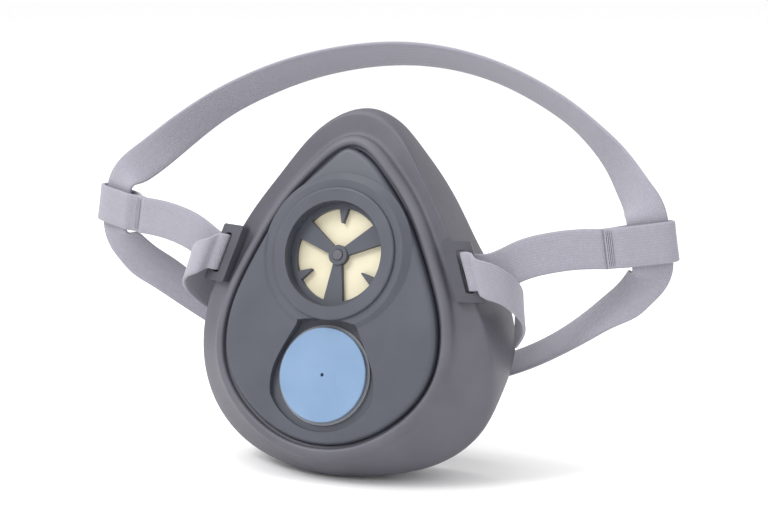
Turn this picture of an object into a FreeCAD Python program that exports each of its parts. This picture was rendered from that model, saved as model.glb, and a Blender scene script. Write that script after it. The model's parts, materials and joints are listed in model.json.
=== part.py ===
"""Half-mask respirator body with its elastic head harness. Millimetres.

Front faces -Y, +Z is up, and +X is on the right seen from the front, which is what right_ means in a
name. The origin is the centre of the face seal. Front parts are drawn in the plate's own frame (x
across, y up the plate, z outward) and then leaned back into place.
"""
import FreeCAD, Part
import math
import os

V = FreeCAD.Vector
os.makedirs("parts", exist_ok=True)

# ---- driving dimensions -------------------------------------------------------------------------
LEAN = 15.5            # lean of the front plate from the vertical, degrees
PORT = V(0, -32, 13)   # centre of the filter port on the plate's face
SAMPLES = 28           # stations round each loft outline

# right half of the plate outline, from the nose down to the chin: (across, up)
PLATE_HALF = [(5.6, 33.2), (10.6, 28.5), (18.2, 20.0), (26.2, 7.5), (32.6, -6.0), (36.8, -17.5),
              (38.2, -28.5), (36.8, -37.5), (32.2, -46.0), (24.5, -53.5), (13.5, -59.6)]
PLATE_TOP = 35.6
PLATE_BOTTOM = -62.0
DOME_R = 420.0         # crown radius of the plate's face
DOME_Y = -13.0
PLATE_BACK = -6.2
PLATE_EDGE_R = 1.8
SEAT_T = 2.4           # rubber clamped behind the plate
SEAT_INSET = 7.0
SEAM = 0.02            # rubber stands this clear of the plate's edge
GROOVE = 1.3           # channel between plate and rubber bead
GROOVE_RISE = 1.2      # groove floor above the plate's back
BEAD = [(1.3, -3.0), (3.4, -2.6), (4.8, -4.2), (5.0, -6.0)]   # (out from the plate, height)
LIP_W = 10.5           # sealing lip turned in towards the face
WALL_T = 2.7
NOSE_SHARE = 0.42      # the lip narrows to this share at the nose
NOSE_SPAN = 45.0
CLAMP_T = 2.0
CLAMP_OUT = -1.6       # outer edge of the clamp ring, from the plate's edge
CLAMP_BACK = PLATE_BACK - SEAT_T - CLAMP_T
RIVET_RUN = -4.2       # rivets lie on the plate outline shrunk by this
RIVET_SPOTS = (3, 8, 12, 16, 20, 25)
RIVET_R = 1.25
RIVET_HEAD_R = 2.2
RIVET_HEAD_H = 1.0

BOSS_R = 27.0          # low raised ring of the plate round the port
BOSS_H = 0.9
BOSS_SLOPE = 2.5
PORT_R = 17.4          # bore that takes the filter retainer
PORT_NECK_R = 19.8
PORT_LIP_R = 21.8
PORT_TOP = 2.0
PORT_FLOOR = -1.6      # the bore's clear depth ends here
PORT_LEDGE = -4.2
GRILLE_TOP = -2.4
GRILLE_RIM_R = 15.4
SPOKE_W = (1.3, 3.6)   # half widths of a spoke at the hub and at the rim
TOOTH_R = 10.6
TOOTH_W = (0.25, 1.7)
HUB_R = 3.3
HUB_PIT_R = 1.9
STUD_R = 0.95
STUD_CAP_R = 1.7
STUD_CAP_H = 0.75
STUD_BARB = (1.3, 2.4, 1.2)   # radii and height
IN_FLAP_R = 15.9
IN_FLAP_T = 0.6
IN_TRAVEL = 1.5

OUT_Y = -39.5          # exhalation valve centre up the plate
OUT_FLAP_R = 15.5
OUT_FLAP_T = 0.9
OUT_SEAT_R = 16.4
OUT_HOLE_R = 13.2
OUT_TOP = -2.2         # seat lip height
OUT_LIP_W = 1.3
OUT_FOOT_R = OUT_SEAT_R - 1.6
OUT_BAR_LOW = OUT_TOP - 2.2
OUT_BAR_W = 0.8
OUT_HUB_R = 2.6
OUT_STEM_R = 1.2
OUT_STEM_BARB = (1.4, 2.1, 1.5)   # radii and height
OUT_DIMPLE_R = 0.6
OUT_TRAVEL = 1.6
POCKET_FLOOR = -3.6
POCKET_SIDE = [(10.5, 17.1), (14.0, 10.5), (17.6, 3.0), (18.4, -8.0)]   # from the valve's centre
POCKET_BASE = -18.6
POCKET_ROOF = 18.2

LUG = V(43.2, -27.2, 9.6)      # middle of the right slot
LUG_OUT = V(0.945, 0.327, 0.0)
LUG_UP = V(-0.335, 0.13, 0.933)
LUG_T = 1.35                   # half thickness
LUG_ENDS = (-4.4, 5.2)         # buried root and free edge, along LUG_OUT
LUG_BAR = 3.0
LUG_CORNER_R = 1.0
SLOT_ENDS = (-0.6, 2.6)
SLOT_H = 14.4

STRAP_W = 13.0
STRAP_T = 1.2
STRAP_STEP = 0.6               # spacing of loft stations, short straps
RING_STEP = 6.0                # and on the head ring
PIVOT = V(98.9, -8.0, 20.0)    # where the ring strap lies in the end loop
LOOP_DIR = V(0.935, 0.325, 0.14)   # the side strap's run into its end loop
LOOP_UP = V(-0.148, 0, 0.989)
LOOP_GAP = 2.1                 # half of the pocket inside an end loop
LOOP_REACH = 5.4               # straight part of the pocket past the pivot
PLY = 0.62                     # the sewn plies lie this far either side of the middle
SEAM_START = -14.0             # where the side strap ends and the sewn fold starts
THREAD_R = 0.16
THREAD_ROWS = 4
THREAD_PITCH = 0.55
THREAD_HALF = 5.5
CLEAR = 0.05
RELIEF = 0.35                  # room that the rubber leaves round the webbing

# ways that the webbing takes: (outward, to the rear) in the lug's frame through the slot
SIDE_TURN = [(1.2, 0.3), (1.45, 1.4), (2.5, 2.4), (4.4, 2.9)]
SIDE_RUN = (8.0, 3.6)
SIDE_BOW = V(0, 1.2, 2.4)
TAIL_TURN = [(1.2, -0.3), (1.35, -1.4), (2.2, -2.4), (3.8, -2.9)]
TAIL = [(6.5, -3.4, -0.4), (11.5, -2.4, -2.2), (15.4, 0.6, -5.0), (17.2, 5.6, -9.0),
        (16.4, 11.1, -13.4), (13.8, 15.6, -17.4), (11.0, 18.8, -20.6)]   # from the slot's middle
TAIL_LEAN = V(-0.1, 0.25, 0.96)
LOOP_SIDE = [(SEAM_START, -PLY), (-11.8, -PLY), (-10.4, -1.2), (-9.2, -2.1), (-7.8, -2.6),
             (-6.0, -2.7), (LOOP_REACH, -2.7)]   # (along the strap, to the rear)

# right half of each ring strap past the end loop: x, y, z and the slope of its width (degrees)
CROWN = [(94.0, -4.6, 33.0, 92), (88.6, 0.6, 38.2, 75), (81.8, 5.6, 44.8, 61), (74.0, 8.8, 51.2, 51),
         (65.5, 11.6, 57.0, 46), (54.4, 14.6, 62.8, 44), (41.0, 17.6, 68.2, 42), (22.0, 21.4, 73.0, 40),
         (0, 23.0, 75.0, 40)]
NECK = [(96.4, -6.6, 6.6, 90), (90.8, -4.6, 0.8, 73), (84.6, -2.4, -3.4, 55), (77.0, 0.2, -8.8, 44),
        (66.0, 3.4, -16.2, 36), (50.0, 7.0, -24.8, 31), (28.0, 9.4, -32.0, 27), (0, 10.2, -35.4, 25)]
RING_IN_LOOP = (0.03, 4.0, 8.0)   # straight run through the loop, from the pivot
RING_MIDDLE = V(0, 0, 20)

# rear edge of the rubber, right half, nose to chin: (x, y, z)
REAR = [(9.5, -4.5, 55.2), (17.0, -3.0, 47.2), (24.0, -2.4, 38.4), (30.5, -1.4, 28.0),
        (37.0, -0.4, 15.2), (43.4, 0.7, 4.0), (48.2, 1.4, -6.0), (50.6, 0.6, -19.0),
        (48.2, -2.5, -32.0), (40.8, -5.2, -43.4), (30.6, -7.2, -51.4), (16.6, -8.8, -56.4)]
REAR_TOP = (0, -6.5, 58.8)
REAR_BOTTOM = (0, -9.6, -57.6)

# widest run of the rubber's wall, right half
GIRTH = [(11.6, -15.0, 54.4), (18.8, -17.4, 47.6), (25.2, -20.2, 38.6), (31.4, -22.8, 30.0),
         (37.4, -25.6, 20.6), (44.6, -27.0, 7.0), (50.4, -27.0, -4.8), (54.0, -26.0, -18.0),
         (54.0, -25.2, -31.0), (50.0, -25.0, -42.8), (42.0, -26.4, -51.4), (31.0, -28.6, -57.0),
         (15.8, -31.8, -60.0)]
GIRTH_TOP = (0, -14.0, 58.2)
GIRTH_BOTTOM = (0, -34.0, -60.8)


def lean(shape):
    """Take a shape from the plate's frame to the object's frame."""
    shape = shape.copy()
    shape.rotate(V(0, 0, 0), V(1, 0, 0), 90 - LEAN)
    shape.translate(PORT)
    return shape


def lean_point(p):
    a = math.radians(LEAN)
    return V(p.x, p.y * math.sin(a) - p.z * math.cos(a), p.y * math.cos(a) + p.z * math.sin(a)) + PORT


def mirror(shape):
    return shape.mirror(V(0, 0, 0), V(1, 0, 0))


def main_solid(shape):
    """The largest solid of a trimmed shape, without its offcuts."""
    return max(shape.Solids, key=lambda solid: solid.Volume)


def save(name, shape):
    solids = shape.Solids
    out = solids[0] if len(solids) == 1 else Part.makeCompound(solids)
    out.exportStep("parts/" + name + ".step")
    print(name, len(solids), round(sum(s.Volume for s in solids), 1), out.isValid())


def ring_curve(points):
    """Smooth closed curve through the points."""
    curve = Part.BSplineCurve()
    curve.interpolate(Points=points, PeriodicFlag=True)
    return curve


def symmetric(top, half, bottom):
    """Whole outline from its top point, right half and bottom point."""
    right = [V(*p) for p in half]
    left = [V(-p.x, p.y, p.z) for p in reversed(right)]
    return [V(*top)] + right + [V(*bottom)] + left


def sampled(points):
    curve = ring_curve(points)
    first, last = curve.FirstParameter, curve.LastParameter
    steps = [first + (last - first) * i / SAMPLES for i in range(SAMPLES)]
    return [curve.value(t) for t in steps], [curve.tangent(t)[0] for t in steps]


def plate_points(offset, z):
    """Plate outline grown by offset, at height z in the plate's frame."""
    half = [(x, y, 0) for x, y in PLATE_HALF]
    spots, tangents = sampled(symmetric((0, PLATE_TOP, 0), half, (0, PLATE_BOTTOM, 0)))
    return [V(p.x - t.y * offset, p.y + t.x * offset, z) for p, t in zip(spots, tangents)]


def plate_prism(offset, low, high):
    wire = Part.Wire([ring_curve(plate_points(offset, low)).toShape()])
    return Part.Face(wire).extrude(V(0, 0, high - low))


def cyl(r, low, high, x=0.0, y=0.0):
    return Part.makeCylinder(r, high - low, V(x, y, low), V(0, 0, 1))


def tube(r_out, r_in, low, high, x=0.0, y=0.0):
    return cyl(r_out, low, high, x, y).cut(cyl(r_in, low - 1, high + 1, x, y))


def inward(points, depth, shift, narrow=False):
    """Outline drawn in towards its own middle and moved along Y; narrow tapers it at the nose."""
    n = len(points)
    out = []
    for i, p in enumerate(points):
        along = points[(i + 1) % n] - points[i - 1]
        side = V(along.z, 0, -along.x)
        side.normalize()
        reach = min(1.0, NOSE_SHARE + (points[0] - p).Length / NOSE_SPAN) if narrow else 1.0
        out.append(p + side * (depth * reach) + V(0, shift, 0))
    return out


def between(first, second, share, swell):
    """Outline part of the way from one to the next, swollen outward."""
    mixed = [a * (1 - share) + b * share for a, b in zip(first, second)]
    return inward(mixed, -swell, 0)


def eased(rings, steps):
    """Outlines along a smooth path that is steered by the given ones."""
    paths = []
    for spots in zip(*rings):
        curve = Part.BSplineCurve()
        curve.buildFromPoles(list(spots), False, 2)
        first, last = curve.FirstParameter, curve.LastParameter
        paths.append([curve.value(first + (last - first) * i / steps) for i in range(steps + 1)])
    return [list(ring) for ring in zip(*paths)]


def wire_of(points):
    return Part.Wire([ring_curve(points).toShape()])


def skin(rings, ruled):
    """Faces that run through the closed outlines in order."""
    return Part.makeLoft([wire_of(ring) for ring in rings], False, ruled).Faces


def facepiece(cutters):
    """Rubber shell: clamped seat, bead round the plate, wall, and the in-turned sealing lip."""
    def rim(offset, z):
        return [lean_point(p) for p in plate_points(offset, z)]

    back = PLATE_BACK - SEAT_T
    floor = PLATE_BACK + GROOVE_RISE
    seat = [rim(-SEAT_INSET, back), rim(-SEAT_INSET, PLATE_BACK), rim(SEAM, PLATE_BACK),
            rim(SEAM, floor), rim(GROOVE, floor)]
    bead = [seat[-1]] + [rim(out, height) for out, height in BEAD]
    girth = sampled(symmetric(GIRTH_TOP, GIRTH, GIRTH_BOTTOM))[0]
    rear = sampled(symmetric(REAR_TOP, REAR, REAR_BOTTOM))[0]
    flank = between(girth, rear, 0.5, 0.6)
    wall = [bead[-1], between(bead[-1], girth, 0.6, 1.6), girth, flank, rear]
    lip = [rear, inward(rear, 0.6, 1.8), inward(rear, 5.5, 1.4, True), inward(rear, LIP_W, -0.6, True)]
    edge = [lip[-1], inward(rear, LIP_W, -1.8, True)]
    inside = [edge[-1], inward(rear, 5.5, -1.6, True), inward(rear, WALL_T, -4.6),
              inward(flank, WALL_T, 0), inward(girth, WALL_T, 3.2), rim(2.4, back - 2.0),
              rim(1.9, back)]
    faces = skin(seat, True) + skin(eased(bead, 6), True) + skin(eased(wall, 10), True)
    faces += skin(eased(lip, 6), True) + skin(edge, True) + skin(eased(inside, 12), True)
    faces += skin([inside[-1], seat[0]], True)
    shell = Part.makeShell(faces)
    shell.sewShape()
    body = Part.makeSolid(shell)
    if body.Volume < 0:
        body.reverse()
    for cutter in cutters:
        body = body.cut(cutter)
    return body


def front_plate():
    dome = Part.makeSphere(DOME_R, V(0, DOME_Y, -DOME_R))
    body = plate_prism(0, PLATE_BACK, 3).common(dome)
    rim = [e for e in body.Edges if e.BoundBox.ZMin > PLATE_BACK + 1 and e.Length > 50]
    body = body.makeFillet(PLATE_EDGE_R, rim)
    boss = Part.makeCone(BOSS_R, BOSS_R - BOSS_SLOPE, BOSS_H + 1.2, V(0, 0, -1.2), V(0, 0, 1))
    body = body.fuse(boss)
    body = body.cut(cyl(PORT_NECK_R + CLEAR, PLATE_BACK - 1, 5))
    body = body.cut(cyl(PORT_LIP_R + CLEAR, 0.5, 5))
    body = body.cut(pocket())
    return body.cut(cyl(OUT_FOOT_R + CLEAR, PLATE_BACK - 1, 5, 0, OUT_Y))


def pocket():
    """Bell-shaped recess the exhalation valve sits in, open under the port's collar."""
    right = [V(x, OUT_Y + y, 0) for x, y in POCKET_SIDE]
    left = [V(-p.x, p.y, 0) for p in right]
    flanks = []
    for points in (left, right):
        flank = Part.BSplineCurve()
        flank.interpolate(points)
        flanks.append(flank.toShape())
    base = Part.Arc(left[-1], V(0, OUT_Y + POCKET_BASE, 0), right[-1]).toShape()
    roof = Part.Arc(right[0], V(0, OUT_Y + POCKET_ROOF, 0), left[0]).toShape()
    wire = Part.Wire(Part.__sortEdges__([flanks[0], base, flanks[1], roof]))
    bell = Part.Face(wire).extrude(V(0, 0, 8))
    bell.translate(V(0, 0, POCKET_FLOOR))
    return bell


def port_ring():
    body = cyl(PORT_NECK_R, PLATE_BACK, 1.0).fuse(cyl(PORT_LIP_R, 0.5, PORT_TOP))
    body = body.makeFillet(0.6, [e for e in body.Edges if e.BoundBox.ZMin > PORT_TOP - 0.01])
    body = body.cut(cyl(PORT_R, PORT_FLOOR, 5)).cut(cyl(PORT_R - 0.2, PORT_LEDGE, 5))
    return body.cut(cyl(PORT_R - 0.9, PLATE_BACK - 1, 5))


def spoke(angle, r_from, r_to, w_from, w_to, low, high):
    """Tapered bar from one radius to another."""
    wire = Part.makePolygon([V(r_from, -w_from, low), V(r_to, -w_to, low), V(r_to, w_to, low),
                             V(r_from, w_from, low), V(r_from, -w_from, low)])
    bar = Part.Face(wire).extrude(V(0, 0, high - low))
    bar.rotate(V(0, 0, 0), V(0, 0, 1), angle)
    return bar


def inhalation_grille():
    low, high = PORT_LEDGE, GRILLE_TOP
    body = tube(PORT_R - 0.2 - CLEAR, GRILLE_RIM_R, low, high)
    for angle in (30, 150, 270):
        body = body.fuse(spoke(angle, 1.5, GRILLE_RIM_R + 0.6, *SPOKE_W, low, high))
    for angle in (90, 210, 330):
        body = body.fuse(spoke(angle, TOOTH_R, GRILLE_RIM_R + 0.6, *TOOTH_W, low, high))
    body = body.fuse(cyl(HUB_R, low, high + 0.5))
    return body.cut(cyl(STUD_R + CLEAR, low - 1, high + 2)).cut(cyl(HUB_PIT_R, high - 0.1, high + 2))


def inhalation_flap():
    top = PORT_LEDGE - 0.05
    body = cyl(IN_FLAP_R, top - IN_FLAP_T, top)
    return body.cut(cyl(STUD_R + CLEAR, top - 2, top + 1))


def inhalation_stud():
    back = PORT_LEDGE - IN_FLAP_T - IN_TRAVEL - 0.4
    cap = GRILLE_TOP - CLEAR
    barb_r, tail_r, barb_h = STUD_BARB
    body = cyl(STUD_R, back, cap).fuse(cyl(STUD_CAP_R, cap, cap + STUD_CAP_H + CLEAR))
    return body.fuse(Part.makeCone(barb_r, tail_r, barb_h, V(0, 0, back - barb_h), V(0, 0, 1)))


def exhalation_seat():
    shelf = OUT_TOP - 0.6
    body = cyl(OUT_FOOT_R, PLATE_BACK, shelf, 0, OUT_Y)
    body = body.fuse(cyl(OUT_SEAT_R, POCKET_FLOOR, shelf, 0, OUT_Y))
    body = body.fuse(tube(OUT_HOLE_R + OUT_LIP_W, OUT_HOLE_R, shelf - 0.1, OUT_TOP, 0, OUT_Y))
    body = body.cut(cyl(OUT_HOLE_R, PLATE_BACK - 1, 5, 0, OUT_Y))
    for angle in (45, 135, 225, 315):
        bar = spoke(angle, 1.6, OUT_HOLE_R + 0.4, OUT_BAR_W, OUT_BAR_W, OUT_BAR_LOW, OUT_TOP - 0.5)
        bar.translate(V(0, OUT_Y, 0))
        body = body.fuse(bar)
    body = body.fuse(cyl(OUT_HUB_R, OUT_BAR_LOW, OUT_TOP - 0.4, 0, OUT_Y))
    return body.cut(cyl(OUT_STEM_R + CLEAR, PLATE_BACK - 1, 5, 0, OUT_Y))


def exhalation_flap():
    base = OUT_TOP + CLEAR
    top = base + OUT_FLAP_T
    body = cyl(OUT_FLAP_R, base, top, 0, OUT_Y)
    body = body.makeFillet(0.35, [e for e in body.Edges if e.BoundBox.ZMin > top - 0.01])
    barb_r, head_r, barb_h = OUT_STEM_BARB
    end = OUT_BAR_LOW - OUT_TRAVEL - 0.15 - barb_h
    body = body.fuse(cyl(OUT_STEM_R, end, base + 0.2, 0, OUT_Y))
    body = body.fuse(Part.makeCone(barb_r, head_r, barb_h, V(0, OUT_Y, end), V(0, 0, 1)))
    return body.cut(cyl(OUT_DIMPLE_R, top - 1.6, top + 1, 0, OUT_Y))


def clamp_spots():
    """Rivet places spread round the clamp ring."""
    run = plate_points(RIVET_RUN, 0)
    return [run[i] for i in RIVET_SPOTS]


def rivet_shanks(r, top):
    return [cyl(r, CLAMP_BACK, top, p.x, p.y) for p in clamp_spots()]


def inner_clamp_ring():
    high = CLAMP_BACK + CLAMP_T
    body = plate_prism(CLAMP_OUT, CLAMP_BACK, high)
    body = body.cut(plate_prism(-SEAT_INSET, CLAMP_BACK - 1, high + 1))
    for hole in rivet_shanks(RIVET_R + CLEAR, high + 1):
        body = body.cut(hole)
    return body


def clamp_rivets():
    pins = []
    for shank, p in zip(rivet_shanks(RIVET_R, PLATE_BACK), clamp_spots()):
        head = Part.makeCone(RIVET_HEAD_R, 0.6 * RIVET_HEAD_R, RIVET_HEAD_H, V(p.x, p.y, CLAMP_BACK),
                             V(0, 0, -1))
        pins.append(shank.fuse(head))
    return Part.makeCompound(pins)


def lug_point(a, b, c=0.0):
    """Point of the lug's frame: a outward, b up the bar, c to the rear."""
    rear = LUG_UP.cross(LUG_OUT)
    rear.normalize()
    return LUG + LUG_OUT * a + LUG_UP * b + rear * c


def lug_prism(ends, tall, half):
    low, high = ends
    corners = [lug_point(low, -tall, -half), lug_point(high, -tall, -half),
               lug_point(high, tall, -half), lug_point(low, tall, -half)]
    depth = lug_point(0, 0, half) - lug_point(0, 0, -half)
    return Part.Face(Part.makePolygon(corners + [corners[0]])).extrude(depth)


def strap_lug():
    body = lug_prism(LUG_ENDS, SLOT_H / 2 + LUG_BAR, LUG_T)
    body = body.cut(lug_prism(SLOT_ENDS, SLOT_H / 2, 5))
    corners = [e for e in body.Edges if e.Length < 2 * LUG_T + 0.1]
    return body.makeFillet(LUG_CORNER_R, corners)


def blend(a, b, f):
    return a * (1 - f) + b * f


def respaced(stations, step):
    """Evenly spaced (centre, width direction) stations on a smooth path through the given ones."""
    knots = [0.0]
    for (here, _), (after, _) in zip(stations, stations[1:]):
        knots.append(knots[-1] + (after - here).Length)
    path = Part.BSplineCurve()
    path.interpolate(Points=[centre for centre, _ in stations], Parameters=knots)
    count = int(knots[-1] / step)
    spots = []
    for t in [knots[-1] * i / count for i in range(count + 1)]:
        i = max(k for k in range(len(stations) - 1) if knots[k] <= t)
        f = (t - knots[i]) / (knots[i + 1] - knots[i])
        spots.append((path.value(t), blend(stations[i][1], stations[i + 1][1], f)))
    return spots


def band(stations, step, spare=0.0):
    """Flat strap along the stations, skewed where it turns; spare grows it all round."""
    spots = respaced(stations, step)
    last = len(spots) - 1
    wires = []
    for i, (centre, across) in enumerate(spots):
        along = spots[min(i + 1, last)][0] - spots[max(i - 1, 0)][0]
        up = along.cross(across)
        up.normalize()
        across.normalize()
        w, t = across * (STRAP_W / 2 + spare), up * (STRAP_T / 2 + spare)
        ring = [centre - w - t, centre + w - t, centre + w + t, centre - w + t]
        wires.append(Part.makePolygon(ring + [ring[0]]))
    return Part.makeLoft(wires, True, True)


def loop_point(a, n):
    """Point of the end loop's frame: a along the strap, n to the rear."""
    rear = LOOP_UP.cross(LOOP_DIR)
    rear.normalize()
    return PIVOT + LOOP_DIR * a + rear * n


def side_strap(spare=0.0):
    stations = [(lug_point(a, 0, c), LUG_UP) for a, c in SIDE_TURN]
    begin = lug_point(SIDE_RUN[0], 0, SIDE_RUN[1])
    end = loop_point(SEAM_START, -PLY)
    for i in range(5):
        f = i / 4
        bow = SIDE_BOW * math.sin(math.pi * f)
        stations.append((blend(begin, end, f) + bow, blend(LUG_UP, LOOP_UP, f)))
    return band(stations, STRAP_STEP, spare)


def strap_tail():
    stations = [(lug_point(a, 0, c), LUG_UP) for a, c in TAIL_TURN]
    for i, place in enumerate(TAIL):
        f = (i + 1) / len(TAIL)
        stations.append((LUG + V(*place), blend(LUG_UP, TAIL_LEAN, f)))
    return band(stations, STRAP_STEP)


def end_loop():
    """Strap folded back on itself, with a pocket that the head ring runs through."""
    g = LOOP_GAP + STRAP_T / 2
    turns = [math.pi * i / 4 for i in (1, 2, 3)]
    bend = [(LOOP_REACH + g * math.sin(t), -g * math.cos(t)) for t in turns]
    far = [(a, -n) for a, n in reversed(LOOP_SIDE)]
    return band([(loop_point(a, n), LOOP_UP) for a, n in LOOP_SIDE + bend + far], STRAP_STEP)


def loop_stitches():
    """Rows of thread over the sewn overlap, on both faces."""
    rows = []
    for face in (-1, 1):
        for i in range(THREAD_ROWS):
            along = SEAM_START + THREAD_PITCH * (i + 1)
            middle = loop_point(along, face * (PLY + STRAP_T / 2 + THREAD_R + CLEAR))
            low = middle - LOOP_UP * THREAD_HALF
            rows.append(Part.makeCylinder(THREAD_R, 2 * THREAD_HALF, low, LOOP_UP))
    return Part.makeCompound(rows)


def head_ring_strap(half, up):
    """Strap from one end loop over the middle to the other; its width slopes like a funnel."""
    last = len(half) - 1
    stations = [(PIVOT + LOOP_UP * (d * up), LOOP_DIR * -1) for d in RING_IN_LOOP]
    for i, (x, y, z, slope) in enumerate(half):
        here = V(x, y, z)
        before = stations[-1][0]
        after = V(*half[i + 1][:3]) if i < last else V(-before.x, before.y, before.z)
        side = V(after.z - before.z, 0, before.x - after.x)
        side.normalize()
        if side.dot(RING_MIDDLE - here) < 0:
            side = side * -1
        s = math.radians(slope)
        stations.append((here, V(0, math.cos(s), 0) + side * math.sin(s)))
    left = [(V(-p.x, p.y, p.z), V(-d.x, d.y, d.z)) for p, d in reversed(stations[:-1])]
    return band(stations + left, RING_STEP)


def main():
    lug = strap_lug()
    loop = end_loop()
    strap = main_solid(side_strap().cut(loop))
    relief = side_strap(RELIEF)
    tail = main_solid(strap_tail().cut(lug).cut(relief))
    holes = lean(Part.makeCompound(rivet_shanks(RIVET_R + CLEAR, PLATE_BACK + 0.02)))
    save("facepiece", facepiece([holes, lug, mirror(lug), relief, mirror(relief)]))
    save("front_plate", lean(front_plate()))
    save("port_ring", lean(port_ring()))
    save("inhalation_grille", lean(inhalation_grille()))
    save("inhalation_flap", lean(inhalation_flap()))
    save("inhalation_stud", lean(inhalation_stud()))
    save("exhalation_seat", lean(exhalation_seat()))
    save("exhalation_flap", lean(exhalation_flap()))
    save("inner_clamp_ring", lean(inner_clamp_ring()))
    save("clamp_rivets", lean(clamp_rivets()))
    pieces = [("strap_lug", lug), ("side_strap", strap), ("strap_tail", tail),
              ("end_loop", loop), ("loop_stitches", loop_stitches())]
    for name, shape in pieces:
        save("right_" + name, shape)
        save("left_" + name, mirror(shape))
    save("crown_strap", head_ring_strap(CROWN, 1))
    save("neck_strap", head_ring_strap(NECK, -1))


main()
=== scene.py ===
# %% [markdown]
# A half-mask respirator: a soft rubber facepiece round a rigid front plate with a filter port and
# an exhalation valve, held by elastic webbing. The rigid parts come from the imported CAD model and
# only get their finish here. The rubber and the webbing are shaped again, because a soft part's
# look is in its rounded edges and its weave.

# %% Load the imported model
import bpy
import bmesh
import json
import math
import numpy as np
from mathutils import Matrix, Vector


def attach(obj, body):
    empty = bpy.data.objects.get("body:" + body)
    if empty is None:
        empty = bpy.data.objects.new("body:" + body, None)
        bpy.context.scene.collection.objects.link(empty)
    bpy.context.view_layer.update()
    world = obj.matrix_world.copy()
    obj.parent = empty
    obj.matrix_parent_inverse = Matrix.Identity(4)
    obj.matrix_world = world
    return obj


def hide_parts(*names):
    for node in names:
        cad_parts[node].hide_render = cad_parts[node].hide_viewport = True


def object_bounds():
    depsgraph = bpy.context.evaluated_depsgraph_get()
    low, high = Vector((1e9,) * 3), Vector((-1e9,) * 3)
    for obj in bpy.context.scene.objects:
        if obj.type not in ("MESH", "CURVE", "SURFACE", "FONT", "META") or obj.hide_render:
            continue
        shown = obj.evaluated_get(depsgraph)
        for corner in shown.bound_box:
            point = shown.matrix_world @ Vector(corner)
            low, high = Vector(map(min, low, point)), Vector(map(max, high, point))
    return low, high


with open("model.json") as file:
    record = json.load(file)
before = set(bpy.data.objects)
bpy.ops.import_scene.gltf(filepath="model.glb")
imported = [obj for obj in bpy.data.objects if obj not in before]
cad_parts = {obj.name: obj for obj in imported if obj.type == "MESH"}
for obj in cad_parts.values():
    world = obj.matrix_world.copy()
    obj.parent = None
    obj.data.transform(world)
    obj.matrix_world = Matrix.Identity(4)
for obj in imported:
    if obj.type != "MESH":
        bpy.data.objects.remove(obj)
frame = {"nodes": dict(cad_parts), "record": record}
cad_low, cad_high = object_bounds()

MM = 0.001
MIRROR = Vector((-1, 1, 1))      # right to left
print("CAD box", [round(v / MM, 1) for v in (*cad_low, *cad_high)])

# %% [markdown]
# The camera stands a little above the mask and to one side, as in a catalogue view, with a long
# lens so that the plate keeps its shape. It aims at the filter port, whose place is read from the
# record's mount rather than typed in.

# %% Camera
port_mount = next(m for m in frame["record"]["mounts"] if m["name"] == "filter_port")
PORT = Vector(port_mount["pos_m"])
OUTWARD = Vector(port_mount["axis"]).normalized()
VIEW_TURN = math.radians(27)
VIEW_LIFT = math.radians(9)
VIEW_DISTANCE = 0.70
LENS = 100.7
FRAME_SHIFT = (0.0638, -0.0091)
back = Vector((math.sin(VIEW_TURN) * math.cos(VIEW_LIFT),
               -math.cos(VIEW_TURN) * math.cos(VIEW_LIFT), math.sin(VIEW_LIFT)))
camera = bpy.data.objects.new("camera", bpy.data.cameras.new("camera"))
bpy.context.scene.collection.objects.link(camera)
camera.location = PORT + back * VIEW_DISTANCE
camera.rotation_mode = "QUATERNION"
camera.rotation_quaternion = (-back).to_track_quat("-Z", "Y")
camera.data.lens = LENS
camera.data.shift_x, camera.data.shift_y = FRAME_SHIFT
camera.data.clip_start, camera.data.clip_end = 0.01, 20.0
bpy.context.scene.camera = camera
print("camera at", [round(v, 3) for v in camera.location])

# %% [markdown]
# A plain pale floor and soft light from large panels. Big lamps close by give the broad, gentle
# shading that moulded rubber shows, and a bright world keeps the far side from going black.

# %% Floor and light
WORLD_STRENGTH = 1.05
FLOOR_SIZE = 40.0
FLOOR_GAP = 0.0005
PANELS = [("key_panel", (-0.55, -0.75, 0.95), 0.5, 9.5), ("fill_panel", (0.9, -0.6, 0.5), 0.8, 1.0),
          ("top_panel", (-0.2, 0.0, 1.1), 0.9, 5.0)]
scene = bpy.context.scene
scene.view_settings.view_transform = "Standard"
world = bpy.data.worlds.new("studio")
world.use_nodes = True
world.node_tree.nodes["Background"].inputs["Color"].default_value = (1.0, 1.0, 1.0, 1)
world.node_tree.nodes["Background"].inputs["Strength"].default_value = WORLD_STRENGTH
scene.world = world

floor_bm = bmesh.new()
bmesh.ops.create_grid(floor_bm, x_segments=1, y_segments=1, size=FLOOR_SIZE)
bmesh.ops.translate(floor_bm, verts=floor_bm.verts, vec=(0, 0, cad_low.z - FLOOR_GAP))
floor_mesh = bpy.data.meshes.new("floor")
floor_bm.to_mesh(floor_mesh)
floor_bm.free()
floor = bpy.data.objects.new("floor", floor_mesh)
scene.collection.objects.link(floor)
floor_paint = bpy.data.materials.new("floor_paint")
floor_paint.use_nodes = True
floor_shader = floor_paint.node_tree.nodes["Principled BSDF"]
floor_shader.inputs["Base Color"].default_value = (0.93, 0.93, 0.93, 1)
floor_shader.inputs["Roughness"].default_value = 0.9
floor_mesh.materials.append(floor_paint)


def panel(name, place, size, power):
    """A square lamp aimed at the mask."""
    lamp = bpy.data.lights.new(name, "AREA")
    lamp.size = size
    lamp.energy = power
    holder = bpy.data.objects.new(name, lamp)
    scene.collection.objects.link(holder)
    holder.location = place
    holder.rotation_mode = "QUATERNION"
    holder.rotation_quaternion = (-Vector(place)).to_track_quat("-Z", "Y")


for lamp_row in PANELS:
    panel(*lamp_row)
print("floor at", round(cad_low.z - FLOOR_GAP, 4), "with", len(PANELS), "panels")

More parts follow.
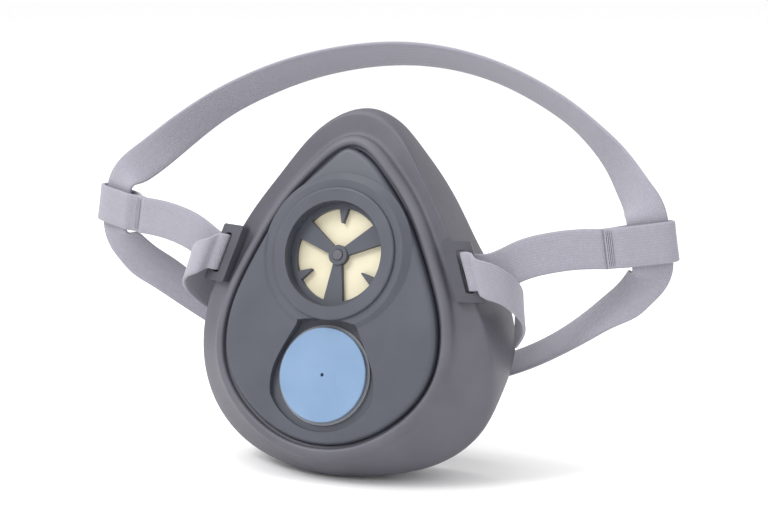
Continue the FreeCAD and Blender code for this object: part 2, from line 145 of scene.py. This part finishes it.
# %% [markdown]
# Finishes are node materials. Each starts from the same recipe: a base colour with slow mottling,
# a roughness that varies, and a fine grain in the bump. Moulded rubber, satin plastic and
# silicone differ only in those numbers. All read Object coordinates, so the grain has a real
# size.

# %% Moulded finishes
def new_material(name):
    material = bpy.data.materials.new(name)
    material.use_nodes = True
    return material, material.node_tree, material.node_tree.nodes["Principled BSDF"]


def noise(tree, scale, detail=3.0):
    """Noise on Object coordinates; scale is in features per metre."""
    place = tree.nodes.new("ShaderNodeTexCoord")
    grain = tree.nodes.new("ShaderNodeTexNoise")
    grain.inputs["Scale"].default_value = scale
    grain.inputs["Detail"].default_value = detail
    tree.links.new(place.outputs["Object"], grain.inputs["Vector"])
    return grain.outputs["Fac"]


def spread(tree, value, low, high, start=0.3, end=0.7):
    """Map a noise value to a range."""
    node = tree.nodes.new("ShaderNodeMapRange")
    node.inputs["From Min"].default_value = start
    node.inputs["From Max"].default_value = end
    node.inputs["To Min"].default_value = low
    node.inputs["To Max"].default_value = high
    tree.links.new(value, node.inputs["Value"])
    return node.outputs["Result"]


def two_tone(tree, value, dark, light):
    ramp = tree.nodes.new("ShaderNodeValToRGB")
    ramp.color_ramp.elements[0].position = 0.3
    ramp.color_ramp.elements[1].position = 0.7
    ramp.color_ramp.elements[0].color = (*dark, 1)
    ramp.color_ramp.elements[1].color = (*light, 1)
    tree.links.new(value, ramp.inputs["Fac"])
    return ramp.outputs["Color"]


def bump(tree, shader, height, strength, distance):
    node = tree.nodes.new("ShaderNodeBump")
    node.inputs["Strength"].default_value = strength
    node.inputs["Distance"].default_value = distance
    tree.links.new(height, node.inputs["Height"])
    tree.links.new(node.outputs["Normal"], shader.inputs["Normal"])


MOTTLE = 70.0            # features per metre of the slow colour change


def moulded(name, dark, light, rough, grain, depth):
    """Moulded rubber or plastic: rough is (low, high), grain in features per metre."""
    material, tree, shader = new_material(name)
    slow = noise(tree, MOTTLE)
    fine = noise(tree, grain, 2.0)
    tree.links.new(two_tone(tree, slow, dark, light), shader.inputs["Base Color"])
    tree.links.new(spread(tree, fine, *rough), shader.inputs["Roughness"])
    bump(tree, shader, fine, 0.5, depth)
    return material


RUBBER = moulded("facepiece_rubber", (0.078, 0.076, 0.094), (0.096, 0.094, 0.115),
                 (0.48, 0.6), 1800, 0.00006)
PLATE = moulded("plate_plastic", (0.05, 0.054, 0.07), (0.062, 0.067, 0.086),
                (0.42, 0.52), 2600, 0.00004)
LUG = moulded("lug_plastic", (0.05, 0.049, 0.062), (0.066, 0.065, 0.082),
              (0.4, 0.5), 2600, 0.00003)
SEAT = moulded("valve_seat_plastic", (0.17, 0.18, 0.2), (0.21, 0.22, 0.245),
               (0.4, 0.5), 2600, 0.00003)
STUD = moulded("stud_plastic", (0.07, 0.068, 0.08), (0.1, 0.098, 0.112),
               (0.35, 0.45), 2600, 0.00002)
CREAM = moulded("cream_flap_rubber", (0.6, 0.55, 0.4), (0.68, 0.63, 0.47),
                (0.55, 0.7), 1500, 0.00003)
BLUE = moulded("blue_silicone", (0.145, 0.235, 0.37), (0.17, 0.265, 0.41),
               (0.35, 0.45), 1500, 0.00002)
print("moulded finishes ready")

# %% [markdown]
# Elastic webbing is woven: fine ribs 0.9 mm apart run along the strap, and crossing yarns tie
# them down every 0.6 mm. The pattern follows the strap round its curls, so it reads the strap's
# UV map, laid out in metres: U along the strap, V across it.

# %% Woven finishes
RIBS_ACROSS = 1 / 0.0009
YARNS_ALONG = 1 / 0.0006
WAVE_BANDS = 20


def wave(tree, vector, axis, per_metre):
    """Bands across the axis; the node makes WAVE_BANDS radians of wave per unit of scale."""
    node = tree.nodes.new("ShaderNodeTexWave")
    node.bands_direction = axis
    node.inputs["Scale"].default_value = per_metre / WAVE_BANDS * math.pi * 2
    tree.links.new(vector, node.inputs["Vector"])
    return node.outputs["Fac"]


def combine(tree, a, b, operation):
    node = tree.nodes.new("ShaderNodeMath")
    node.operation = operation
    tree.links.new(a, node.inputs[0])
    tree.links.new(b, node.inputs[1])
    return node.outputs["Value"]


def webbing(name, dark, light):
    material, tree, shader = new_material(name)
    layout = tree.nodes.new("ShaderNodeUVMap")
    layout.uv_map = "weave"
    ribs = wave(tree, layout.outputs["UV"], "Y", RIBS_ACROSS)
    yarns = wave(tree, layout.outputs["UV"], "X", YARNS_ALONG)
    weave = combine(tree, ribs, yarns, "MULTIPLY")
    fuzz = noise(tree, 900, 4.0)
    mixed = combine(tree, spread(tree, weave, 0.3, 0.6, 0.0, 1.0),
                    spread(tree, fuzz, -0.08, 0.1), "ADD")
    tree.links.new(two_tone(tree, mixed, dark, light), shader.inputs["Base Color"])
    shader.inputs["Roughness"].default_value = 0.85
    shader.inputs["Sheen Weight"].default_value = 0.25
    shader.inputs["Sheen Roughness"].default_value = 0.5
    bump(tree, shader, weave, 0.6, 0.00012)
    return material


WEBBING = webbing("elastic_webbing", (0.25, 0.242, 0.284), (0.31, 0.302, 0.352))
THREAD = moulded("sewing_thread", (0.27, 0.265, 0.31), (0.36, 0.35, 0.41),
                 (0.7, 0.8), 6000, 0.00004)
print("woven finishes ready")

# %% [markdown]
# The rigid parts keep their CAD meshes: their shapes are exact already. Each material slot of
# theirs is filled with the finish that its record slot asks for.

# %% Finish the CAD parts
FINISH = {"grey_rubber": RUBBER, "grey_plastic": PLATE, "dark_plastic": LUG, "seat_plastic": SEAT,
          "stud_plastic": STUD, "cream_rubber": CREAM, "blue_silicone": BLUE,
          "elastic_webbing": WEBBING, "sewing_thread": THREAD}
for part in frame["record"]["subparts"]:
    holder = frame["nodes"][part["node"]]
    for slot in holder.material_slots:
        slot.material = FINISH[part["material_slot"]]
print("finished", len(frame["nodes"]), "CAD parts")

# %% [markdown]
# Soft parts are lofts: an outline is drawn once, then extruded edge by edge to the next outline.
# `smooth_loop` draws a closed outline through a few guide points with a periodic cubic spline,
# and `spline` itself also serves open lines. `loft` does the extruding.

# %% Curves and lofts
def solve_spline(points, knots, closed):
    """Second derivatives of a cubic spline through the points."""
    n = len(points)
    gaps = np.diff(knots)
    rows = np.zeros((n, n))
    right = np.zeros((n, points.shape[1]))
    for i in range(n):
        if not closed and i in (0, n - 1):
            rows[i, i] = 1
            continue
        before, after = gaps[i - 1], gaps[i % len(gaps)]
        rows[i, i - 1] += before
        rows[i, i] += 2 * (before + after)
        rows[i, (i + 1) % n] += after
        right[i] = 6 * ((points[(i + 1) % n] - points[i]) / after
                        - (points[i] - points[i - 1]) / before)
    return np.linalg.solve(rows, right)


def spline(points, count, closed):
    """count places along a cubic spline through the points, with chord-length knots."""
    points = np.array(points, float)
    ends = np.vstack([points, points[:1]]) if closed else points
    gaps = np.linalg.norm(np.diff(ends[:, :3], axis=0), axis=1)
    knots = np.concatenate([[0], np.cumsum(gaps)])
    bend = solve_spline(points, knots, closed)
    bend = np.vstack([bend, bend[:1]]) if closed else bend
    steps = np.linspace(0, knots[-1], count + 1 if closed else count)
    places = []
    for t in steps[:count]:
        i = min(int(np.searchsorted(knots, t, "right")) - 1, len(gaps) - 1)
        h = gaps[i]
        a, b = (knots[i + 1] - t) / h, (t - knots[i]) / h
        places.append(a * ends[i] + b * ends[i + 1]
                      + ((a ** 3 - a) * bend[i] + (b ** 3 - b) * bend[i + 1]) * h * h / 6)
    return places


def smooth_loop(points, count):
    return [Vector(p) for p in spline(points, count, True)]


def loft(name, rings, body, replaced, material, caps=False, joined=False, subdivide=0):
    """Extrude a closed outline through the rings; joined closes the last ring onto the first."""
    bm = bmesh.new()
    current = bmesh.ops.create_circle(bm, segments=len(rings[0]), radius=0.01)["verts"]
    opening = list(current)
    edges = list(bm.edges)
    for vertex, place in zip(current, rings[0]):
        vertex.co = place
    for ring in rings[1:]:
        grown = bmesh.ops.extrude_edge_only(bm, edges=edges)["geom"]
        fresh = {g for g in grown if isinstance(g, bmesh.types.BMVert)}
        current = [next(e.other_vert(v) for e in v.link_edges if e.other_vert(v) in fresh)
                   for v in current]
        edges = [g for g in grown if isinstance(g, bmesh.types.BMEdge)
                 and all(v in fresh for v in g.verts)]
        for vertex, place in zip(current, ring):
            vertex.co = place
    if joined:
        ends = edges + [e for e in bm.edges if all(v in opening for v in e.verts)]
        bmesh.ops.bridge_loops(bm, edges=list(set(ends)))
    if caps:
        bmesh.ops.contextual_create(bm, geom=opening)
        bmesh.ops.contextual_create(bm, geom=current)
    bmesh.ops.recalc_face_normals(bm, faces=bm.faces)
    for face in bm.faces:
        face.smooth = True
    mesh = bpy.data.meshes.new(name)
    bm.to_mesh(mesh)
    bm.free()
    piece = bpy.data.objects.new(name, mesh)
    scene.collection.objects.link(piece)
    mesh.materials.append(material)
    if subdivide:
        soften = piece.modifiers.new("soften", "SUBSURF")
        soften.levels = soften.render_levels = subdivide
    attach(piece, body)
    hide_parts(*replaced)
    return piece


print("loft helpers ready")

# %% [markdown]
# The facepiece is one rubber moulding: a thin seat clamped behind the plate, a bead round the
# plate with a dark groove inside it, a wall that swells over the cheeks, and a lip turned in to
# seal on the face. Its outlines are the CAD's own guide points. The subdivision surface rounds
# every corner the way rubber comes out of a mould.

# %% Facepiece outlines
LEAN = math.radians(15.5)
PLATE_HALF = [(5.6, 33.2), (10.6, 28.5), (18.2, 20.0), (26.2, 7.5), (32.6, -6.0), (36.8, -17.5),
              (38.2, -28.5), (36.8, -37.5), (32.2, -46.0), (24.5, -53.5), (13.5, -59.6)]
PLATE_TOP = (0, 35.6)
PLATE_BOTTOM = (0, -62.0)
REAR = [(9.5, -4.5, 55.2), (17.0, -3.0, 47.2), (24.0, -2.4, 38.4), (30.5, -1.4, 28.0),
        (37.0, -0.4, 15.2), (43.4, 0.7, 4.0), (48.2, 1.4, -6.0), (50.6, 0.6, -19.0),
        (48.2, -2.5, -32.0), (40.8, -5.2, -43.4), (30.6, -7.2, -51.4), (16.6, -8.8, -56.4)]
REAR_TOP = (0, -6.5, 58.8)
REAR_BOTTOM = (0, -9.6, -57.6)
GIRTH = [(11.6, -15.0, 54.4), (18.8, -17.4, 47.6), (25.2, -20.2, 38.6), (31.4, -22.8, 30.0),
         (37.4, -25.6, 20.6), (44.6, -27.0, 7.0), (50.4, -27.0, -4.8), (54.0, -26.0, -18.0),
         (54.0, -25.2, -31.0), (50.0, -25.0, -42.8), (42.0, -26.4, -51.4), (31.0, -28.6, -57.0),
         (15.8, -31.8, -60.0)]
GIRTH_TOP = (0, -14.0, 58.2)
GIRTH_BOTTOM = (0, -34.0, -60.8)
AROUND = 96
NOSE_SHARE = 0.42        # how much of the lip's width is left at the nose
NOSE_SPAN = 45.0         # the lip widens over this length below it
UP_PLATE = Vector((0, math.sin(LEAN), math.cos(LEAN)))


def whole(top, half, bottom):
    """Mirror the right half of an outline; millimetres in, metres out."""
    right = [Vector(p) for p in half]
    left = [Vector((-p[0], *p[1:])) for p in reversed(half)]
    return [p * MM for p in [Vector(top)] + right + [Vector(bottom)] + left]


def rim(offset, height):
    """Plate outline grown by offset, at a height along the plate's outward axis."""
    flat = whole((*PLATE_TOP, 0), [(x, y, 0) for x, y in PLATE_HALF], (*PLATE_BOTTOM, 0))
    loop = smooth_loop(flat, AROUND)
    ring = []
    for i, p in enumerate(loop):
        along = (loop[(i + 1) % AROUND] - loop[i - 1]).normalized()
        x, y = p.x - along.y * offset * MM, p.y + along.x * offset * MM
        ring.append(PORT + Vector((x, 0, 0)) + UP_PLATE * y + OUTWARD * (height * MM))
    return ring


def inward(ring, depth, shift, narrow=False):
    """Outline drawn in towards its own middle; narrow tapers it at the nose."""
    drawn = []
    for i, p in enumerate(ring):
        along = ring[(i + 1) % AROUND] - ring[i - 1]
        side = Vector((along.z, 0, -along.x)).normalized()
        reach = min(1.0, NOSE_SHARE + (ring[0] - p).length / (NOSE_SPAN * MM)) if narrow else 1.0
        drawn.append(p + side * (depth * reach * MM) + Vector((0, shift * MM, 0)))
    return drawn


def between(first, second, share, swell):
    mixed = [a.lerp(b, share) for a, b in zip(first, second)]
    return inward(mixed, -swell, 0)


def eased(rings, steps):
    """Outlines along a quadratic B-spline steered by the given ones."""
    spans = len(rings) - 2
    found = []
    for step in range(steps + 1):
        t = spans * step / steps
        i = min(int(t), spans - 1)
        f = t - i
        start = 1.0 if i == 0 else 0.5
        end = 1.0 if i == spans - 1 else 0.5
        w0, w2 = start * (1 - f) ** 2, end * f ** 2
        found.append([a * w0 + b * (1 - w0 - w2) + c * w2
                      for a, b, c in zip(rings[i], rings[i + 1], rings[i + 2])])
    return found


girth = smooth_loop(whole(GIRTH_TOP, GIRTH, GIRTH_BOTTOM), AROUND)
rear = smooth_loop(whole(REAR_TOP, REAR, REAR_BOTTOM), AROUND)
print("outlines of", AROUND, "points")

# %% Facepiece rubber
SEAT_BACK = -8.6
SEAT_FRONT = -6.2
GROOVE_FLOOR = -5.0
SEAT_PROFILE = [(-7.0, SEAT_BACK), (-7.0, SEAT_FRONT), (-6.4, SEAT_FRONT), (-0.4, SEAT_FRONT),
                (0.05, SEAT_FRONT), (0.05, GROOVE_FLOOR), (1.1, GROOVE_FLOOR)]
BEAD_PROFILE = [(1.3, GROOVE_FLOOR), (1.3, -3.2), (2.2, -2.7), (3.6, -3.0), (4.7, -4.2),
                (5.0, -5.4)]
BEAD_FOOT = (5.3, -6.4)
INNER_STEP = (1.9, SEAT_BACK)
WALL = 2.7
LIP = 10.5
LIP_FOLD = 5.5
WALL_STEPS, LIP_STEPS, INSIDE_STEPS = 10, 6, 12
flank = between(girth, rear, 0.5, 0.6)
seat = [rim(*place) for place in SEAT_PROFILE]
bead = [rim(*place) for place in BEAD_PROFILE]
bead_foot = rim(*BEAD_FOOT)
wall = eased([bead_foot, between(bead_foot, girth, 0.6, 1.6), girth, flank, rear], WALL_STEPS)
lip = eased([rear, inward(rear, 0.6, 1.8), inward(rear, LIP_FOLD, 1.4, True),
             inward(rear, LIP, -0.6, True)], LIP_STEPS)
inside = eased([inward(rear, LIP, -1.8, True), inward(rear, LIP_FOLD, -1.6, True),
                inward(rear, WALL, -4.6), inward(flank, WALL, 0), inward(girth, WALL, 3.2),
                rim(2.4, SEAT_BACK - 2.0), rim(*INNER_STEP)], INSIDE_STEPS)
facepiece = loft("facepiece_rubber", seat + bead + wall + lip[1:] + inside, "mask", ["facepiece"],
                 RUBBER, joined=True, subdivide=1)
print("facepiece faces", len(facepiece.data.polygons))

# %% [markdown]
# Webbing is a flat band that follows a path. Each station of the path gives the middle of the
# strap and the direction of its width. The cross-section is a thin rounded slab, a little thicker
# at the two selvages, and it is extruded from station to station. The UV map is laid out from the
# distance along the path, so the weave keeps its real size round every curl.

# %% Webbing helper
STRAP_WIDTH = 13.0
STRAP_THICK = 1.2
SECTION = [(-0.5, 0.0), (-0.485, 0.36), (-0.455, 0.5), (-0.3, 0.46), (-0.1, 0.45), (0.1, 0.45),
           (0.3, 0.46), (0.455, 0.5), (0.485, 0.36), (0.5, 0.0), (0.485, -0.36), (0.455, -0.5),
           (0.3, -0.46), (0.1, -0.45), (-0.1, -0.45), (-0.3, -0.46), (-0.455, -0.5),
           (-0.485, -0.36)]


def strap(name, stations, body, replaced, step=1.2):
    """Woven band through (middle, width direction) stations in metres; step is in millimetres."""
    guide = [[*middle, *across.normalized()] for middle, across in stations]
    length = sum((a[0] - b[0]).length for a, b in zip(stations, stations[1:]))
    count = max(int(length / (step * MM)), 8)
    places = spline(guide, count, False)
    middles = [Vector(p[:3]) for p in places]
    rings, travelled = [], [0.0]
    for i, place in enumerate(places):
        here = middles[i]
        along = (middles[min(i + 1, count - 1)] - middles[max(i - 1, 0)]).normalized()
        across = Vector(place[3:]).normalized()
        face = along.cross(across).normalized()
        if i:
            travelled.append(travelled[-1] + (here - middles[i - 1]).length)
        rings.append([here + across * (u * STRAP_WIDTH * MM) + face * (w * STRAP_THICK * MM)
                      for u, w in SECTION])
    piece = loft(name, rings, body, replaced, WEBBING, caps=True)
    lay_weave(piece, travelled)
    return piece


def lay_weave(piece, travelled):
    """UV map in metres: distance along the strap, place across it."""
    mesh = piece.data
    layer = mesh.uv_layers.new(name="weave")
    per_ring = len(SECTION)
    for corner in mesh.loops:
        ring, spot = divmod(corner.vertex_index, per_ring)
        layer.data[corner.index].uv = (travelled[ring], SECTION[spot][0] * STRAP_WIDTH * MM)


print("webbing section of", len(SECTION), "points")

# %% [markdown]
# Each side strap comes forward from its sewn end loop, passes behind the lug's bar, turns through
# the slot and folds back as a loose tail that curls towards the cheek. The side strap and the
# tail share the slot's middle, so they read as one strap. Left is the mirror image of right.

# %% Side straps, tails and end loops
LUG_MIDDLE = Vector((43.2, -27.2, 9.6))
LUG_OUT = Vector((0.945, 0.327, 0.0))
LUG_UP = Vector((-0.335, 0.13, 0.933))
LUG_BACK = LUG_UP.cross(LUG_OUT).normalized()
PIVOT = Vector((98.9, -8.0, 20.0))
LOOP_DIR = Vector((0.935, 0.325, 0.14))
LOOP_UP = Vector((-0.148, 0, 0.989))
LOOP_BACK = LOOP_UP.cross(LOOP_DIR).normalized()
LOOP_GAP = 2.1
LOOP_REACH = 5.4
SEAM_START = -14.0
PLY = 0.62
SIDE_TURN = [(1.2, 0.0), (1.45, 1.4), (2.5, 2.4), (4.4, 2.9)]
TAIL_TURN = [(1.2, -0.05), (1.35, -1.4), (2.2, -2.4), (3.8, -2.9)]
TAIL = [(6.5, -3.4, -0.4), (11.5, -2.4, -2.2), (15.4, 0.6, -5.0), (17.2, 5.6, -9.0),
        (16.4, 11.1, -13.4), (13.8, 15.6, -17.4), (11.0, 18.8, -20.6)]
TAIL_LEAN = Vector((-0.1, 0.25, 0.96))
SIDE_START = (8.0, 3.6)
SIDE_BOW = Vector((0, 1.2, 2.4))
SIDE_SPANS = 4
PLIES_PART = [(-11.8, -PLY), (-10.4, -1.2), (-9.2, -2.1)]   # the two plies part here
LOOP_STEP = 0.6


def lug_point(out, rear_ward):
    return LUG_MIDDLE + LUG_OUT * out + LUG_BACK * rear_ward


def loop_point(along, rear_ward):
    return PIVOT + LOOP_DIR * along + LOOP_BACK * rear_ward


def side_stations():
    stations = [(lug_point(a, c), LUG_UP) for a, c in SIDE_TURN]
    begin, end = lug_point(*SIDE_START), loop_point(SEAM_START, -PLY)
    for i in range(SIDE_SPANS + 1):
        f = i / SIDE_SPANS
        bow = SIDE_BOW * math.sin(math.pi * f)
        stations.append((begin.lerp(end, f) + bow, LUG_UP.lerp(LOOP_UP, f)))
    return stations


def tail_stations():
    stations = [(lug_point(a, c), LUG_UP) for a, c in TAIL_TURN]
    for i, place in enumerate(TAIL):
        f = (i + 1) / len(TAIL)
        stations.append((LUG_MIDDLE + Vector(place), LUG_UP.lerp(TAIL_LEAN, f)))
    return stations


def loop_stations():
    g = LOOP_GAP + STRAP_THICK / 2
    near = [(SEAM_START, -PLY), *PLIES_PART, (-7.8, 0.1 - g), (-6.0, -g), (LOOP_REACH, -g)]
    turns = [math.pi * i / 4 for i in (1, 2, 3)]
    bend = [(LOOP_REACH + g * math.sin(a), -g * math.cos(a)) for a in turns]
    far = [(a, -n) for a, n in reversed(near)]
    return [(loop_point(a, n), LOOP_UP) for a, n in near + bend + far]


def to_metres(stations, flip):
    """Millimetres to metres, mirrored for the left side."""
    swap = MIRROR if flip else Vector((1, 1, 1))
    return [(middle * swap * MM, across * swap) for middle, across in stations]


for side, flip in (("right", False), ("left", True)):
    strap(side + "_side_strap_webbing", to_metres(side_stations(), flip), "mask",
          [side + "_side_strap"])
    strap(side + "_tail_webbing", to_metres(tail_stations(), flip), "mask", [side + "_strap_tail"])
    strap(side + "_loop_webbing", to_metres(loop_stations(), flip), "mask", [side + "_end_loop"],
          LOOP_STEP)
print("side straps, tails and loops made")

# %% [markdown]
# The head ring is one elastic loop: the crown strap goes over the back of the head and the neck
# strap under it. Its width slopes like a funnel, so the slope is stated at each station.

# %% Head ring
CROWN = [(94.0, -4.6, 33.0, 92), (88.6, 0.6, 38.2, 75), (81.8, 5.6, 44.8, 61),
         (74.0, 8.8, 51.2, 51), (65.5, 11.6, 57.0, 46), (54.4, 14.6, 62.8, 44),
         (41.0, 17.6, 68.2, 42), (22.0, 21.4, 73.0, 40), (0, 23.0, 75.0, 40)]
NECK = [(96.4, -6.6, 6.6, 90), (90.8, -4.6, 0.8, 73), (84.6, -2.4, -3.4, 55),
        (77.0, 0.2, -8.8, 44), (66.0, 3.4, -16.2, 36), (50.0, 7.0, -24.8, 31),
        (28.0, 9.4, -32.0, 27), (0, 10.2, -35.4, 25)]
RING_MIDDLE = Vector((0, 0, 20))
RING_IN_LOOP = (0.03, 4.0, 8.0)


def ring_stations(half, up):
    """Stations from one loop to the other; up is 1 for the crown and -1 for the neck."""
    stations = [(PIVOT + LOOP_UP * (d * up), -LOOP_DIR) for d in RING_IN_LOOP]
    for i, (x, y, z, slope) in enumerate(half):
        before = stations[-1][0]
        after = Vector(half[i + 1][:3]) if i + 1 < len(half) else before * MIRROR
        inner = Vector((after.z - before.z, 0, before.x - after.x)).normalized()
        if inner.dot(RING_MIDDLE - Vector((x, y, z))) < 0:
            inner.negate()
        s = math.radians(slope)
        stations.append((Vector((x, y, z)), Vector((0, math.cos(s), 0)) + inner * math.sin(s)))
    stations += [(p * MIRROR, d * MIRROR) for p, d in reversed(stations[:-1])]
    return to_metres(stations, False)


crown = strap("crown_strap_webbing", ring_stations(CROWN, 1), "head_ring", ["crown_strap"])
neck = strap("neck_strap_webbing", ring_stations(NECK, -1), "head_ring", ["neck_strap"])
print("ring faces", len(crown.data.polygons) + len(neck.data.polygons))
